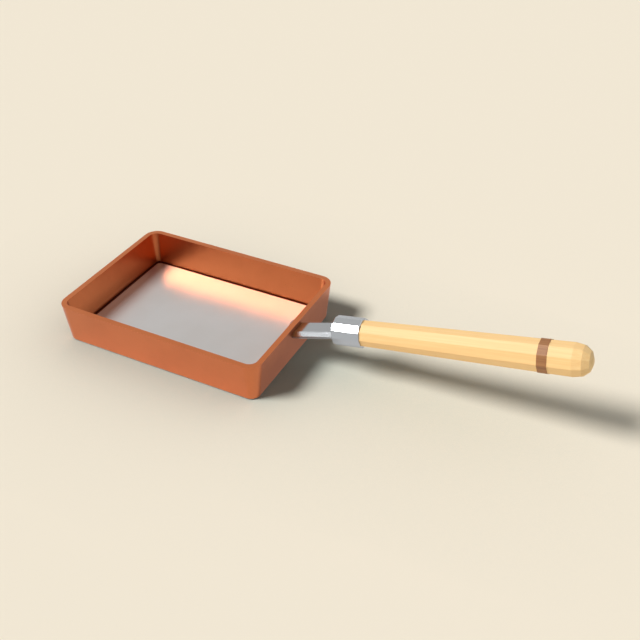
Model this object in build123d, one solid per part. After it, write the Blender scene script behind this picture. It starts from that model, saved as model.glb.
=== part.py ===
from build123d import *
import math
import os

# Lengths are in millimetres and angles in degrees. The pan stands on z = 0 with its base centred on the
# origin, and its handle runs out along +X and upwards.

# Pan body: four drafted walls under a flat rim, on a base thicker than the walls.
pan_length = 180.0
pan_width = 130.5
pan_height = 33.3
wall_thickness = 4.3
base_thickness = 5.0
wall_draft = 6.0
rim_corner_radius = 11.0
rim_ease = 0.5
heel_radius = 1.5
foot_radius = 1.0

# Lining plate: lies on the base, with a groove between it and the foot of the walls.
lining_thickness = 1.0
lining_groove = 2.0
lining_corner_radius = 4.0
lining_ease = 0.4

# Neck: a flat bar with wide chamfers. It butts on the short wall, has its shoulder in the ferrule's end
# wall, and goes on as a square tang that bends to the handle's axis.
neck_root_height = 25.1
neck_tilt = 18.2
neck_width = 18.2
neck_thickness = 6.4
neck_chamfer = 2.8
neck_length = 43.5
neck_ease = 0.4
tang_root_width = 6.0
tang_tip_width = 4.0
tang_length = 75.0

# Tenon: runs square through the wall and the rove, and is riveted over inside the pan.
tenon_radius = 2.5
tenon_head_radius = 4.4
tenon_head_height = 2.0
rove_radius = 7.0
rove_thickness = 1.4
rove_ease = 0.4

# Ferrule: a twelve-sided cup, open towards the wood.
handle_tilt = 11.2
ferrule_length = 22.5
ferrule_setback = 7.6
ferrule_radius = 11.2
ferrule_wall = 1.6
ferrule_end_wall = 2.0
ferrule_sides = 12
ferrule_corner_ease = 0.8
ferrule_end_ease = 0.5

# Ferrule nail: driven from below, with its head on a small flat seat.
nail_station = 4.0
nail_radius = 0.8
nail_length = 5.0
nail_head_radius = 1.7
nail_head_height = 0.8

# Grip, band and butt: one ten-sided taper, with the band standing slightly proud of it.
grip_length = 129.7
grip_sides = 10
grip_root_radius = 10.05
grip_ease = 1.0
band_width = 6.6
band_stand = 0.4
butt_length = 15.9
butt_radius = 12.05
dome_length = 12.0
dowel_radius = 4.0
dowel_depth = 11.4

# Places along the dome and its radius there, as shares of its length and of the butt's radius.
dome_shares = ((0.0, 1.0), (0.5, 0.895), (0.87, 0.587), (1.0, 0.22))

# Clearance round each piece that sits in another, and the overrun of every cut.
fit_clearance = 0.1
cut_overrun = 1.0


def axis_plane(origin, tilt):
    """Plane square to an axis in the XZ plane that rises by the tilt, with its own X pointing up."""
    rise = math.radians(tilt)
    return Plane(
        origin=origin,
        x_dir=(-math.sin(rise), 0, math.cos(rise)),
        z_dir=(math.cos(rise), 0, math.sin(rise)),
    )


# The neck leaves the wall's outer face at its root. The bend is where it meets the handle's axis.
draft_slope = math.tan(math.radians(wall_draft))
root_inset = (pan_height - neck_root_height) * draft_slope
neck_root = axis_plane((pan_length / 2 - root_inset, 0, neck_root_height), neck_tilt)
wall_face = axis_plane(neck_root.origin, -wall_draft)
bend = axis_plane(neck_root.offset(neck_length).origin, handle_tilt)
ferrule_front = bend.offset(-ferrule_setback)
ferrule_back = ferrule_front.offset(ferrule_length)

wall_square = wall_thickness * math.cos(math.radians(wall_draft))
ferrule_flat = ferrule_radius * math.cos(math.pi / ferrule_sides)
ferrule_bore = ferrule_flat - ferrule_wall
taper_slope = (butt_radius - grip_root_radius) / (grip_length + band_width + butt_length)


def flat_up_polygon(radius, sides):
    """Regular outline by its corner radius, with one of its flats at the top."""
    return RegularPolygon(radius, sides, rotation=180 / sides)


def widening(outline, height, angle):
    """Solid from z = 0 that widens by an angle up to its outline at the height."""
    return Pos(0, 0, height) * Rot(180, 0, 0) * extrude(outline, amount=height, taper=angle)


def drafted_block(inset, bottom, top):
    """Block between two heights whose sides lie a level distance inside the pan's outer walls."""
    pull_in = inset + (pan_height - top) * draft_slope
    outline = RectangleRounded(
        pan_length - 2 * pull_in, pan_width - 2 * pull_in, rim_corner_radius - pull_in
    )
    return Pos(0, 0, bottom) * widening(outline, top - bottom, wall_draft)


def make_pan_body():
    """Shell with the same draft inside and out, rounded at heel and foot, and eased at the rim."""
    outside = drafted_block(0, 0, pan_height)
    outside = fillet(outside.faces().sort_by(Axis.Z)[0].edges(), heel_radius)
    cavity = drafted_block(wall_thickness, base_thickness, pan_height + cut_overrun)
    cavity = fillet(cavity.faces().sort_by(Axis.Z)[0].edges(), foot_radius)
    body = outside - cavity
    body = chamfer(body.faces().sort_by(Axis.Z)[-1].edges(), rim_ease)
    hole = wall_face.offset(cut_overrun) * Circle(tenon_radius + fit_clearance)
    return body - extrude(hole, amount=-(wall_square + 2 * cut_overrun))


def make_lining_plate():
    """Flat plate with rounded corners and an eased top edge."""
    pull_in = wall_thickness + (pan_height - base_thickness) * draft_slope + lining_groove
    outline = RectangleRounded(
        pan_length - 2 * pull_in, pan_width - 2 * pull_in, lining_corner_radius
    )
    plate = extrude(Pos(0, 0, base_thickness) * outline, amount=lining_thickness)
    return chamfer(plate.faces().sort_by(Axis.Z)[-1].edges(), lining_ease)


def neck_form(clearance):
    """Bar up to its shoulder, square link up to the bend and tapered tang, grown by a clearance."""
    run_in = neck_thickness
    shoulder = neck_length - ferrule_setback + ferrule_end_wall / 2
    outline = Rectangle(neck_thickness + 2 * clearance, neck_width + 2 * clearance)
    outline = fillet(chamfer(outline.vertices(), neck_chamfer).vertices(), neck_ease)
    bar = extrude(neck_root.offset(-run_in) * outline, amount=run_in + shoulder + clearance)
    overlap = tang_root_width / 2
    reach = overlap + tang_length + clearance
    narrowing = math.atan((tang_root_width - tang_tip_width) / 2 / (overlap + tang_length))
    square = Rectangle(tang_root_width + 2 * clearance, tang_root_width + 2 * clearance)
    link = extrude(neck_root.offset(shoulder - overlap) * square, amount=neck_length - shoulder + overlap)
    tang = extrude(square, amount=reach, taper=math.degrees(narrowing))
    return bar + link + bend.offset(-overlap).location * tang


def make_neck_bar():
    """Bar cut to the wall's lean, with a tenon square to the wall and its riveted head."""
    bar = neck_form(0) - drafted_block(0, 0, pan_height + neck_thickness)
    reach = wall_square + rove_thickness
    root = tenon_radius / 2
    tenon = extrude(wall_face.offset(root) * Circle(tenon_radius), amount=-(root + reach))
    head_face = wall_face.offset(-reach)
    ball_radius = (tenon_head_radius**2 + tenon_head_height**2) / (2 * tenon_head_height)
    centre = head_face.offset(ball_radius - tenon_head_height)
    ball = centre.location * Rot(90, 0, 0) * Sphere(ball_radius)
    head = ball & extrude(head_face * Circle(tenon_head_radius), amount=-(tenon_head_height + cut_overrun))
    return bar + tenon + head


def make_neck_rove():
    """Washer on the wall's inner face, eased round its outer edge."""
    rove = extrude(wall_face.offset(-wall_square) * Circle(rove_radius), amount=-rove_thickness)
    rove = chamfer(rove.faces().sort_by(Axis.X)[0].edges(), rove_ease)
    hole = wall_face.offset(cut_overrun) * Circle(tenon_radius + fit_clearance)
    return rove - extrude(hole, amount=-(wall_square + rove_thickness + 2 * cut_overrun))


def nail_form(clearance):
    """Nail that points up into the wood from its seat on the ferrule, grown by a clearance."""
    station = bend.offset(nail_station)
    seat = Plane(
        origin=station.origin - station.x_dir * ferrule_flat,
        x_dir=station.z_dir,
        z_dir=station.x_dir,
    )
    shank = extrude(seat * Circle(nail_radius + clearance), amount=nail_length + clearance)
    head = extrude(seat * Circle(nail_head_radius + clearance), amount=-(nail_head_height + clearance))
    return shank + head


def make_ferrule_nail():
    """Round shank with a flat head, chamfered on its outer edge."""
    nail = nail_form(0)
    return chamfer(nail.faces().sort_by(Axis.Z)[0].edges(), nail_head_height / 2)


def make_ferrule():
    """Twelve-sided cup with a round bore, a hole for the neck and a flat seat for the nail's head."""
    outline = RegularPolygon(ferrule_radius, ferrule_sides)
    outline = fillet(outline.vertices(), ferrule_corner_ease)
    ferrule = extrude(ferrule_front * outline, amount=ferrule_length)
    ends = ferrule.faces().sort_by(Axis.X)
    ferrule = chamfer(ends[0].edges() + ends[-1].edges(), ferrule_end_ease)
    bore = ferrule_front.offset(ferrule_end_wall) * Circle(ferrule_bore)
    ferrule -= extrude(bore, amount=ferrule_length)
    return ferrule - neck_form(fit_clearance) - nail_form(fit_clearance)


def taper_radius(station):
    """Corner radius of the handle at a distance from the ferrule."""
    return grip_root_radius + taper_slope * station


def taper_piece(start, length, stand=0.0):
    """Ten-sided stretch of the handle's taper, with its long edges eased."""
    outline = flat_up_polygon(taper_radius(start + length) + stand, grip_sides)
    angle = math.degrees(math.atan(taper_slope * math.cos(math.pi / grip_sides)))
    stretch = widening(outline, length, angle)
    ends = stretch.faces().sort_by(Axis.Z)
    long_edges = stretch.edges() - ends[0].edges() - ends[-1].edges()
    return ferrule_back.offset(start).location * fillet(long_edges, grip_ease)


def dowel_form(clearance):
    """Dowel through the band, as deep in the grip as in the butt, grown by a clearance."""
    depth = dowel_depth + clearance
    start = ferrule_back.offset(grip_length - depth)
    return extrude(start * Circle(dowel_radius + clearance), amount=band_width + 2 * depth)


def make_handle_grip():
    """Tapered grip with a round spigot in the ferrule, bored for the neck, the nail and the dowel."""
    spigot_length = ferrule_length - ferrule_end_wall - fit_clearance
    spigot = extrude(ferrule_back * Circle(ferrule_bore - fit_clearance), amount=-spigot_length)
    grip = taper_piece(0, grip_length) + spigot
    return grip - neck_form(fit_clearance) - nail_form(fit_clearance) - dowel_form(fit_clearance)


def make_handle_band():
    """Ring that stands proud of the wood on both sides of it."""
    return taper_piece(grip_length, band_width, band_stand) - dowel_form(fit_clearance)


def make_dome():
    """Carved end of the handle: rings of flat facets that lean in more and more."""
    dome_start = ferrule_back.offset(grip_length + band_width + butt_length)
    dome = Part()
    for (low, wide), (high, narrow) in zip(dome_shares, dome_shares[1:]):
        height = (high - low) * dome_length
        lean = (wide - narrow) * butt_radius * math.cos(math.pi / grip_sides) / height
        outline = flat_up_polygon(wide * butt_radius, grip_sides)
        ring = extrude(outline, amount=height, taper=math.degrees(math.atan(lean)))
        dome += dome_start.offset(low * dome_length).location * ring
    return dome


def make_handle_butt():
    """Last stretch of the taper with its dome, bored for the dowel."""
    butt = taper_piece(grip_length + band_width, butt_length) + make_dome()
    return butt - dowel_form(fit_clearance)


pieces = {
    "pan_body": make_pan_body(),
    "lining_plate": make_lining_plate(),
    "neck_bar": make_neck_bar(),
    "neck_rove": make_neck_rove(),
    "ferrule": make_ferrule(),
    "ferrule_nail": make_ferrule_nail(),
    "handle_grip": make_handle_grip(),
    "handle_band": make_handle_band(),
    "handle_butt": make_handle_butt(),
    "butt_dowel": dowel_form(0),
}

os.makedirs("parts", exist_ok=True)
for name, shape in pieces.items():
    export_step(shape, f"parts/{name}.step")
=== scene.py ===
import math

import bmesh
import bpy
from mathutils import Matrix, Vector


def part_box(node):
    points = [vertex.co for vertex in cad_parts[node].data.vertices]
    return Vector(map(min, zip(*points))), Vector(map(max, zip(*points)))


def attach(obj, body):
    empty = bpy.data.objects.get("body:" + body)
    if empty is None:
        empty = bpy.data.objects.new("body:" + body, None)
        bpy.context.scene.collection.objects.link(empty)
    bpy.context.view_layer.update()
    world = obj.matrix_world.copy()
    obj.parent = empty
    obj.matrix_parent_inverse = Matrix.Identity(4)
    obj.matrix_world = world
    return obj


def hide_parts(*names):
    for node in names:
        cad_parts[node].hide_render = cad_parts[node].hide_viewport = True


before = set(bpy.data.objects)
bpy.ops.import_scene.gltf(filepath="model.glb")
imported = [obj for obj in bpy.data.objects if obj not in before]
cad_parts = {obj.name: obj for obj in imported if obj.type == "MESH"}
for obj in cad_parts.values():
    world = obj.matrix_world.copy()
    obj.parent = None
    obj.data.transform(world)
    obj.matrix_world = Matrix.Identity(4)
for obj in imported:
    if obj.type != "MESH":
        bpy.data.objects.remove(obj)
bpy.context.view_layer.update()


# Pan body. The real piece is one thick copper shell with drafted walls and a still thicker base.
# It is pressed over a block, its rim is dressed flat and left crisp, and it is rubbed to a satin
# that mirrors its surroundings softly.
wall = 0.0043
wall_draft = math.radians(6.0)
base_thickness = 0.005
rim_corner_radius = 0.011
corner_steps = 10
heel_radius = 0.0015
heel_steps = 4
foot_radius = 0.001
foot_steps = 5


def new_piece(name, bm):
    """A finished mesh as a piece of the object: it rides on the one body."""
    for face in bm.faces:
        face.smooth = True
    mesh = bpy.data.meshes.new(name)
    bm.to_mesh(mesh)
    bm.free()
    piece = bpy.data.objects.new(name, mesh)
    bpy.context.scene.collection.objects.link(piece)
    even = piece.modifiers.new("even_flats", "WEIGHTED_NORMAL")
    even.keep_sharp = True
    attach(piece, "root")
    return piece


def rounded_outline(bm, length, width, radius, height):
    """A flat face with rounded corners at a height, centred on the pan."""
    made = bmesh.ops.create_grid(bm, x_segments=1, y_segments=1, size=0.5)
    corners = made["verts"]
    bmesh.ops.scale(bm, vec=(length, width, 1), verts=corners)
    bmesh.ops.translate(bm, vec=(0, 0, height), verts=corners)
    rounded = bmesh.ops.bevel(
        bm, geom=corners, offset=radius, offset_type="OFFSET", segments=corner_steps,
        profile=0.5, affect="VERTICES", material=-1,
    )
    return rounded["verts"][0].link_faces[0]


def wall_outline(bm, inset, height):
    """The outline of the drafted wall, a level distance inside the outer face at that height."""
    pull_in = inset + (rim_height - height) * math.tan(wall_draft)
    return rounded_outline(
        bm, rim_length - 2 * pull_in, rim_width - 2 * pull_in, rim_corner_radius - pull_in, height
    )


def round_over(bm, edges, radius, steps):
    """Edges worn or pressed round by a radius."""
    bmesh.ops.bevel(
        bm, geom=edges, offset=radius, offset_type="OFFSET", segments=steps,
        profile=0.5, affect="EDGES", clamp_overlap=True, material=-1,
    )


pan_low, pan_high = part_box("pan_body")
rim_height = pan_high.z
rim_length = pan_high.x - pan_low.x
rim_width = pan_high.y - pan_low.y

bm = bmesh.new()
underside = wall_outline(bm, 0, 0)
rim = wall_outline(bm, 0, rim_height)
mouth = wall_outline(bm, wall, rim_height)
inside_base = wall_outline(bm, wall, base_thickness)
heel_edges = list(underside.edges)
rim_outer = list(rim.edges)
rim_inner = list(mouth.edges)
foot_edges = list(inside_base.edges)
bmesh.ops.delete(bm, geom=[rim, mouth], context="FACES_ONLY")
for lower, upper in ((heel_edges, rim_outer), (rim_outer, rim_inner), (rim_inner, foot_edges)):
    bmesh.ops.bridge_loops(bm, edges=lower + upper)
for edge in rim_outer + rim_inner:
    edge.smooth = False
round_over(bm, heel_edges, heel_radius, heel_steps)
round_over(bm, foot_edges, foot_radius, foot_steps)
# The groove's floor and its rounded foot take the second material, the painted groove shade.
for face in bm.faces:
    if abs(face.calc_center_median().z - base_thickness) < foot_radius:
        face.material_index = 1
bmesh.ops.recalc_face_normals(bm, faces=bm.faces)
pan_shell = new_piece("pan_shell", bm)
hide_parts("pan_body")


def colour(code):
    """An sRGB hex colour as the linear colour that a socket takes."""
    parts = [int(code[i:i + 2], 16) / 255 for i in (1, 3, 5)]
    return [p / 12.92 if p <= 0.04045 else ((p + 0.055) / 1.055) ** 2.4 for p in parts] + [1]


def add_node(tree, kind, inputs=(), **settings):
    """A node with its settings, its socket values and the links that feed it."""
    node = tree.nodes.new(kind)
    for name, value in settings.items():
        setattr(node, name, value)
    for socket, value in dict(inputs).items():
        if isinstance(value, bpy.types.NodeSocket):
            tree.links.new(value, node.inputs[socket])
        else:
            node.inputs[socket].default_value = value
    return node


def new_material(name):
    """An empty node material."""
    material = bpy.data.materials.new(name)
    material.use_nodes = True
    material.node_tree.nodes.clear()
    return material, material.node_tree


mark_depth = 0.0001
mark_unevenness = 0.05


def rubbed_marks(tree, place, spacing, roughness, relief):
    """Fine marks left by rubbing or filing, at a spacing along each axis, in gloss and in relief."""
    scaled = add_node(tree, "ShaderNodeMapping", {
        "Vector": place, "Scale": [1 / gap for gap in spacing]})
    marks = add_node(tree, "ShaderNodeTexNoise", {
        "Vector": scaled.outputs["Vector"], "Scale": 1.0, "Detail": 3.0})
    rough = add_node(tree, "ShaderNodeMapRange", {
        "Value": marks.outputs["Fac"],
        "To Min": roughness - mark_unevenness, "To Max": roughness + mark_unevenness})
    bump = add_node(tree, "ShaderNodeBump", {
        "Height": marks.outputs["Fac"], "Strength": relief, "Distance": mark_depth})
    return {"Roughness": rough.outputs["Result"], "Normal": bump.outputs["Normal"]}


# Satin copper: warm, with soft highlights drawn out along the walls, because it is rubbed that way.
# The real marks are too fine to show, so they are drawn as level lines half a millimetre apart and
# some 33 mm long. Handling leaves faint darker clouds, about 36 mm across.
copper_tone = "#DB8050"
copper_tarnish = "#C46E44"
copper_roughness = 0.3
copper_relief = 0.08
copper_mark_spacing = (0.0333, 0.0333, 0.0005)
tarnish_cloud = 0.0357
tarnish_levels = (0.42, 0.72)
tarnish_strength = 0.35

satin_copper, tree = new_material("satin_copper")
place = add_node(tree, "ShaderNodeTexCoord")
clouds = add_node(tree, "ShaderNodeTexNoise", {
    "Vector": place.outputs["Object"], "Scale": 1 / tarnish_cloud, "Detail": 4.0, "Roughness": 0.55})
tarnished = add_node(tree, "ShaderNodeMapRange", {
    "Value": clouds.outputs["Fac"], "From Min": tarnish_levels[0], "From Max": tarnish_levels[1],
    "To Max": tarnish_strength})
tone = add_node(tree, "ShaderNodeMix", {
    "Factor": tarnished.outputs["Result"], "A": colour(copper_tone), "B": colour(copper_tarnish)},
    data_type="RGBA")
marks = rubbed_marks(
    tree, place.outputs["Object"], copper_mark_spacing, copper_roughness, copper_relief)
surface = add_node(tree, "ShaderNodeBsdfPrincipled", {
    "Base Color": tone.outputs["Result"], "Metallic": 1.0, **marks})
add_node(tree, "ShaderNodeOutputMaterial", {"Surface": surface.outputs["BSDF"]})
pan_shell.data.materials.append(satin_copper)

# Painted shade in the groove round the plate: the copper there is coloured a dark brown-black, almost
# without shine and mottled in patches of some 4.5 mm, to stand for the shade that falls in the groove.
groove_shade_dark = "#5A2411"
groove_shade_light = "#7C371B"
groove_shade_metallic = 0.5
groove_shade_roughness = 0.5
groove_shade_patch = 0.00455

groove_shade_copper, tree = new_material("groove_shade_copper")
place = add_node(tree, "ShaderNodeTexCoord")
groove_mottle = add_node(tree, "ShaderNodeTexNoise", {
    "Vector": place.outputs["Object"], "Scale": 1 / groove_shade_patch, "Detail": 4.0, "Roughness": 0.6})
tone = add_node(tree, "ShaderNodeMix", {
    "Factor": groove_mottle.outputs["Fac"], "A": colour(groove_shade_dark), "B": colour(groove_shade_light)},
    data_type="RGBA")
surface = add_node(tree, "ShaderNodeBsdfPrincipled", {
    "Base Color": tone.outputs["Result"], "Metallic": groove_shade_metallic, "Roughness": groove_shade_roughness})
add_node(tree, "ShaderNodeOutputMaterial", {"Surface": surface.outputs["BSDF"]})
pan_shell.data.materials.append(groove_shade_copper)


# Lining plate. A separate bright plate lies on the base, and leaves a narrow dark groove before
# the walls. It is cut from rolled sheet with rounded corners and an eased upper edge.
lining_corner_radius = 0.004
lining_ease = 0.0004
lining_ease_steps = 3

lining_low, lining_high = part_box("lining_plate")
lining_length = lining_high.x - lining_low.x
lining_width = lining_high.y - lining_low.y
bm = bmesh.new()
underside = rounded_outline(bm, lining_length, lining_width, lining_corner_radius, lining_low.z)
upper_face = rounded_outline(bm, lining_length, lining_width, lining_corner_radius, lining_high.z)
upper_edges = list(upper_face.edges)
bmesh.ops.bridge_loops(bm, edges=list(underside.edges) + upper_edges)
round_over(bm, upper_edges, lining_ease, lining_ease_steps)
bmesh.ops.recalc_face_normals(bm, faces=bm.faces)
lining = new_piece("lining", bm)
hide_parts("lining_plate")

# Wiped steel: pale and half dull from use, so it mirrors the walls only as a broad glow. Years of
# wiping leave marks along the plate, in truth finer than a pixel and drawn 0.67 mm apart and 50 mm
# long, and faint smudges about 45 mm across.
lining_tone = "#C9C6C4"
lining_smudge = "#BEB9B4"
lining_metallic = 0.38
lining_roughness = 0.31
lining_relief = 0.06
wipe_spacing = (0.05, 0.000667, 0.05)
smudge_size = 0.0455
smudge_levels = (0.4, 0.75)
smudge_strength = 0.5

wiped_steel, tree = new_material("wiped_steel")
place = add_node(tree, "ShaderNodeTexCoord")
smudges = add_node(tree, "ShaderNodeTexNoise", {
    "Vector": place.outputs["Object"], "Scale": 1 / smudge_size, "Detail": 3.0, "Roughness": 0.6})
smudged = add_node(tree, "ShaderNodeMapRange", {
    "Value": smudges.outputs["Fac"], "From Min": smudge_levels[0], "From Max": smudge_levels[1],
    "To Max": smudge_strength})
tone = add_node(tree, "ShaderNodeMix", {
    "Factor": smudged.outputs["Result"], "A": colour(lining_tone), "B": colour(lining_smudge)},
    data_type="RGBA")
marks = rubbed_marks(tree, place.outputs["Object"], wipe_spacing, lining_roughness, lining_relief)
surface = add_node(tree, "ShaderNodeBsdfPrincipled", {
    "Base Color": tone.outputs["Result"], "Metallic": lining_metallic, **marks})
add_node(tree, "ShaderNodeOutputMaterial", {"Surface": surface.outputs["BSDF"]})
lining.data.materials.append(wiped_steel)


# Neck and rove. The neck is one forged flat bar with wide chamfers, drawn down to a tang inside the
# wood and riveted over a washer inside the pan. Both are mild steel. They keep the shapes that CAD
# gives them.
neck_tilt = math.radians(18.2)
neck_tone = "#B8BBBF"
neck_roughness = 0.17
steel_relief = 0.08
file_mark_spacing = (0.0167, 0.000714, 0.000714)
# Painted shade where the neck meets the wall: a darker grey, full at the root and gone 5.5 mm out.
root_shade_tone = "#7A8488"
root_shade_place = 0.0895
root_shade_fade = 0.0055


def finish_node(name, material):
    """A CAD piece whose shape is right takes its real finish."""
    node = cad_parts[name]
    node.data.materials.clear()
    node.data.materials.append(material)


def brushed_steel(name, tone, tilt, roughness, shaded_root=False):
    """Steel filed along an axis that rises by the tilt, and darkened near the wall by painted shade
    when that is asked for.
    """
    material, tree = new_material(name)
    place = add_node(tree, "ShaderNodeTexCoord")
    turned = add_node(tree, "ShaderNodeMapping", {
        "Vector": place.outputs["Object"], "Rotation": (0, tilt, 0)})
    marks = rubbed_marks(tree, turned.outputs["Vector"], file_mark_spacing, roughness, steel_relief)
    surface = add_node(tree, "ShaderNodeBsdfPrincipled", {
        "Base Color": colour(tone), "Metallic": 1.0, **marks})
    # Painted shade darkens the steel near the wall, where the neck meets the pan.
    if shaded_root:
        along = add_node(tree, "ShaderNodeSeparateXYZ", {"Vector": place.outputs["Object"]})
        offset = add_node(tree, "ShaderNodeMath", {
            0: along.outputs["X"], 1: root_shade_place}, operation="SUBTRACT")
        away = add_node(tree, "ShaderNodeMath", {0: offset.outputs[0]}, operation="ABSOLUTE")
        share = add_node(tree, "ShaderNodeMapRange", {
            "Value": away.outputs[0], "From Max": root_shade_fade, "To Min": 1.0, "To Max": 0.0})
        root_shaded_tone = add_node(tree, "ShaderNodeMix", {
            "Factor": share.outputs["Result"], "A": colour(tone), "B": colour(root_shade_tone)},
            data_type="RGBA")
        tree.links.new(root_shaded_tone.outputs["Result"], surface.inputs["Base Color"])
    add_node(tree, "ShaderNodeOutputMaterial", {"Surface": surface.outputs["BSDF"]})
    return material


# Filed steel: cool grey and nearly bright, with the marks of the file along the bar, drawn 0.7 mm
# apart and 17 mm long to show at all. Where it meets the wall it is darkened by painted shade, which
# fades out within 5.5 mm.
filed_steel = brushed_steel("filed_steel", neck_tone, neck_tilt, neck_roughness, shaded_root=True)
finish_node("neck_bar", filed_steel)
finish_node("neck_rove", filed_steel)


# Ferrule and its nail. A steel cup with twelve flats is pressed over the root of the wood and held
# by one small nail from below. The polished steel is paler and a little brighter than the neck,
# with the same fine marks along the handle.
handle_tilt = math.radians(11.2)
ferrule_tone = "#C4C7CB"
ferrule_roughness = 0.16

polished_steel = brushed_steel("polished_steel", ferrule_tone, handle_tilt, ferrule_roughness)
finish_node("ferrule", polished_steel)
finish_node("ferrule_nail", polished_steel)


# Grip, butt and the dowel that joins them. They are a pale close-grained softwood, left bare. Grip
# and butt are planed to ten flats, and the butt's end is carved to a dome.
pale_tones = ("#F4C586", "#F6CA8A", "#F8CF92")
pale_line_gap = 0.0016
growth_length = 0.111
fibre_length = 0.0143
fibres_per_line = 4
fibre_share = 0.3
tone_levels = (0.34, 0.48, 0.62)
wood_roughness = (0.50, 0.62)
wood_relief = 0.12
wood_relief_depth = 0.0002


def planed_wood(name, tones, line_gap):
    """Bare wood with its grain along the handle: growth lines, finer fibres and their relief."""
    material, tree = new_material(name)
    place = add_node(tree, "ShaderNodeTexCoord")
    turned = add_node(tree, "ShaderNodeMapping", {
        "Vector": place.outputs["Object"], "Rotation": (0, handle_tilt, 0)})
    wide = add_node(tree, "ShaderNodeMapping", {
        "Vector": turned.outputs["Vector"], "Scale": (1 / growth_length, 1 / line_gap, 1 / line_gap)})
    growth = add_node(tree, "ShaderNodeTexNoise", {
        "Vector": wide.outputs["Vector"], "Scale": 1.0, "Detail": 4.0, "Roughness": 0.55})
    fibre_gap = line_gap / fibres_per_line
    fine = add_node(tree, "ShaderNodeMapping", {
        "Vector": turned.outputs["Vector"], "Scale": (1 / fibre_length, 1 / fibre_gap, 1 / fibre_gap)})
    fibres = add_node(tree, "ShaderNodeTexNoise", {
        "Vector": fine.outputs["Vector"], "Scale": 1.0, "Detail": 2.0})
    grain = add_node(tree, "ShaderNodeMix", {
        "Factor": fibre_share, "A": growth.outputs["Fac"], "B": fibres.outputs["Fac"]})
    ramp = add_node(tree, "ShaderNodeValToRGB", {"Fac": grain.outputs["Result"]})
    steps = ramp.color_ramp.elements
    steps.new(tone_levels[1])
    for step, level, tone in zip(steps, tone_levels, tones):
        step.position = level
        step.color = colour(tone)
    rough = add_node(tree, "ShaderNodeMapRange", {
        "Value": fibres.outputs["Fac"], "To Min": wood_roughness[0], "To Max": wood_roughness[1]})
    bump = add_node(tree, "ShaderNodeBump", {
        "Height": grain.outputs["Result"], "Strength": wood_relief, "Distance": wood_relief_depth})
    surface = add_node(tree, "ShaderNodeBsdfPrincipled", {
        "Base Color": ramp.outputs["Color"], "Roughness": rough.outputs["Result"],
        "Normal": bump.outputs["Normal"]})
    add_node(tree, "ShaderNodeOutputMaterial", {"Surface": surface.outputs["BSDF"]})
    return material


# Planed softwood: matt and warm, with low-contrast grain along the handle. Its growth lines are
# 1.6 mm apart and some 110 mm long. Its fibres are drawn 0.4 mm apart and 14 mm long, which is
# coarser than they are, because finer ones wouldn't show.
pale_wood = planed_wood("pale_wood", pale_tones, pale_line_gap)
for name in ("handle_grip", "handle_butt", "butt_dowel"):
    finish_node(name, pale_wood)


# Band. A ring of dark hardwood is glued between grip and butt, and stands a little proud of both.
# It has the same ten flats and is left bare, and its grain is finer, with lines 1.2 mm apart.
dark_tones = ("#8F5E39", "#9F6C42", "#AA774A")
dark_line_gap = 0.0012

dark_wood = planed_wood("dark_wood", dark_tones, dark_line_gap)
finish_node("handle_band", dark_wood)


# Studio. A plain matt cream floor without an edge, one wide key lamp from the front left above, a
# weak and still wider fill from the right, and a pale sky that is brightest low on the fill's side.
# What the camera sees past the floor is one plain tone, and so is the sky that metal mirrors.
floor_reach = 12.0
floor_tone = "#F5E9D5"
shade_tone = "#96A9A3"
shade_reach = 0.15
shade_contrast = 1.76
shade_samples = 16
mirrored_floor_tone = "#BFBEBD"
mirrored_glow_tone = "#C9C8C5"
mirrored_glow = 0.4
mirrored_sky_tone = "#D8D7D4"
backdrop_tone = "#F1E8D5"
sky_tone = "#EAFAFF"
sky_level = 0.83
bright_azimuth = math.radians(126.87)


def towards(azimuth, elevation):
    """The direction of a place seen from the pan, its azimuth counted from the front."""
    return Vector((
        math.sin(azimuth) * math.cos(elevation),
        -math.cos(azimuth) * math.cos(elevation),
        math.sin(elevation),
    ))


def mirror_rays(tree):
    """1 for rays by which metal and glass show the studio, 0 for rays that light a matt face."""
    path = add_node(tree, "ShaderNodeLightPath")
    either = add_node(tree, "ShaderNodeMath", {
        0: path.outputs["Is Glossy Ray"], 1: path.outputs["Is Transmission Ray"]}, operation="MAXIMUM")
    direct = add_node(tree, "ShaderNodeMath", {
        0: path.outputs["Diffuse Depth"], 1: 0.5}, operation="LESS_THAN")
    shown = add_node(tree, "ShaderNodeMath", {
        0: either.outputs[0], 1: direct.outputs[0]}, operation="MULTIPLY")
    return shown.outputs[0]


bm = bmesh.new()
bmesh.ops.create_grid(bm, x_segments=1, y_segments=1, size=floor_reach)
mesh = bpy.data.meshes.new("studio_floor")
bm.to_mesh(mesh)
bm.free()
floor = bpy.data.objects.new("studio_floor", mesh)
bpy.context.scene.collection.objects.link(floor)

# The floor's shadows deepen towards a grey green near the pan and the handle, as they do in the
# photograph. Only the eye sees that: light that the floor throws back is plain cream.
cream_floor, tree = new_material("cream_floor")
nearness = add_node(tree, "ShaderNodeAmbientOcclusion", {
    "Distance": shade_reach}, samples=shade_samples)
open_share = add_node(tree, "ShaderNodeMath", {
    0: nearness.outputs["AO"], 1: shade_contrast}, operation="POWER")
deepened = add_node(tree, "ShaderNodeMix", {
    "Factor": open_share.outputs[0], "A": colour(shade_tone), "B": colour(floor_tone)},
    data_type="RGBA")
path = add_node(tree, "ShaderNodeLightPath")
bounced = add_node(tree, "ShaderNodeMix", {
    "Factor": path.outputs["Is Diffuse Ray"], "A": deepened.outputs["Result"],
    "B": colour(floor_tone)}, data_type="RGBA")
mirrored = mirror_rays(tree)
seen = add_node(tree, "ShaderNodeMix", {
    "Factor": mirrored, "A": bounced.outputs["Result"], "B": colour(mirrored_floor_tone)},
    data_type="RGBA")
matt = add_node(tree, "ShaderNodeBsdfDiffuse", {"Color": seen.outputs["Result"]})
glow_strength = add_node(tree, "ShaderNodeMath", {0: mirrored, 1: mirrored_glow}, operation="MULTIPLY")
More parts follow.
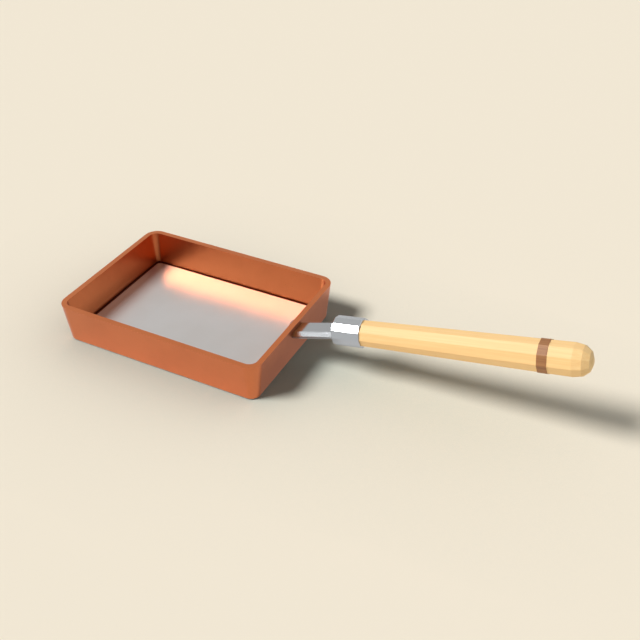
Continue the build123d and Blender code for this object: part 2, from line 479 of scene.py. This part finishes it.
glow = add_node(tree, "ShaderNodeEmission", {
    "Color": colour(mirrored_glow_tone), "Strength": glow_strength.outputs[0]})
surface = add_node(tree, "ShaderNodeAddShader", {0: matt.outputs["BSDF"], 1: glow.outputs["Emission"]})
add_node(tree, "ShaderNodeOutputMaterial", {"Surface": surface.outputs["Shader"]})
floor.data.materials.append(cream_floor)

# The sky's strength falls with the square of the height, and goes round from nothing on the far
# side of the bright azimuth to twice its level there.
world = bpy.data.worlds.new("studio")
world.use_nodes = True
world.node_tree.nodes.clear()
tree = world.node_tree
place = add_node(tree, "ShaderNodeTexCoord")
height = add_node(tree, "ShaderNodeSeparateXYZ", {"Vector": place.outputs["Generated"]})
lowness = add_node(tree, "ShaderNodeMapRange", {
    "Value": height.outputs["Z"], "To Min": 1.0, "To Max": 0.0})
fall = add_node(tree, "ShaderNodeMath", {0: lowness.outputs["Result"], 1: 2.0}, operation="POWER")
side = add_node(tree, "ShaderNodeVectorMath", {
    0: place.outputs["Generated"], 1: towards(bright_azimuth, 0.0)}, operation="DOT_PRODUCT")
side_level = add_node(tree, "ShaderNodeMapRange", {
    "Value": side.outputs["Value"], "From Min": -1.0, "From Max": 1.0, "To Max": 2 * sky_level})
strength = add_node(tree, "ShaderNodeMath", {
    0: fall.outputs[0], 1: side_level.outputs["Result"]}, operation="MULTIPLY")
sky = add_node(tree, "ShaderNodeBackground", {
    "Color": colour(sky_tone), "Strength": strength.outputs[0]})
mirrored_sky = add_node(tree, "ShaderNodeBackground", {"Color": colour(mirrored_sky_tone)})
lit = add_node(tree, "ShaderNodeMixShader", {
    0: mirror_rays(tree), 1: sky.outputs["Background"], 2: mirrored_sky.outputs["Background"]})
backdrop = add_node(tree, "ShaderNodeBackground", {"Color": colour(backdrop_tone)})
path = add_node(tree, "ShaderNodeLightPath")
viewed = add_node(tree, "ShaderNodeMixShader", {
    0: path.outputs["Is Camera Ray"], 1: lit.outputs["Shader"], 2: backdrop.outputs["Background"]})
add_node(tree, "ShaderNodeOutputWorld", {"Surface": viewed.outputs["Shader"]})
bpy.context.scene.world = world

# Both lamps are suns of a wide angle, so their shadows have soft edges. A share of 1 lights a level
# white floor to full white.
key_azimuth = math.radians(-49.5)
key_elevation = math.radians(48.0)
key_spread = math.radians(21.0)
key_share = 0.823
fill_elevation = math.radians(35.0)
fill_spread = math.radians(50.0)
fill_share = 0.03


def wide_lamp(name, azimuth, elevation, spread, share):
    """A sun that lights a level white floor to a share of full white."""
    sun = bpy.data.lights.new(name, "SUN")
    sun.angle = spread
    sun.energy = share * math.pi / math.sin(elevation)
    lamp = bpy.data.objects.new(name, sun)
    bpy.context.scene.collection.objects.link(lamp)
    lamp.rotation_euler = towards(azimuth, elevation).to_track_quat("Z", "Y").to_euler()


wide_lamp("key_lamp", key_azimuth, key_elevation, key_spread, key_share)
wide_lamp("fill_lamp", bright_azimuth, fill_elevation, fill_spread, fill_share)


# Camera, at the photograph's place: from the front right and above, with the pan to the left and
# the whole handle in view.
view_azimuth = math.radians(26.59)
view_elevation = math.radians(36.58)
view_place = (0.34481, -0.47200, 0.43328)
field_of_view = math.radians(40.0)

camera = bpy.data.objects.new("camera", bpy.data.cameras.new("camera"))
bpy.context.scene.collection.objects.link(camera)
camera.data.angle = field_of_view
camera.location = view_place
camera.rotation_euler = towards(view_azimuth, view_elevation).to_track_quat("Z", "Y").to_euler()
bpy.context.scene.camera = camera
bpy.context.scene.view_settings.view_transform = "Standard"
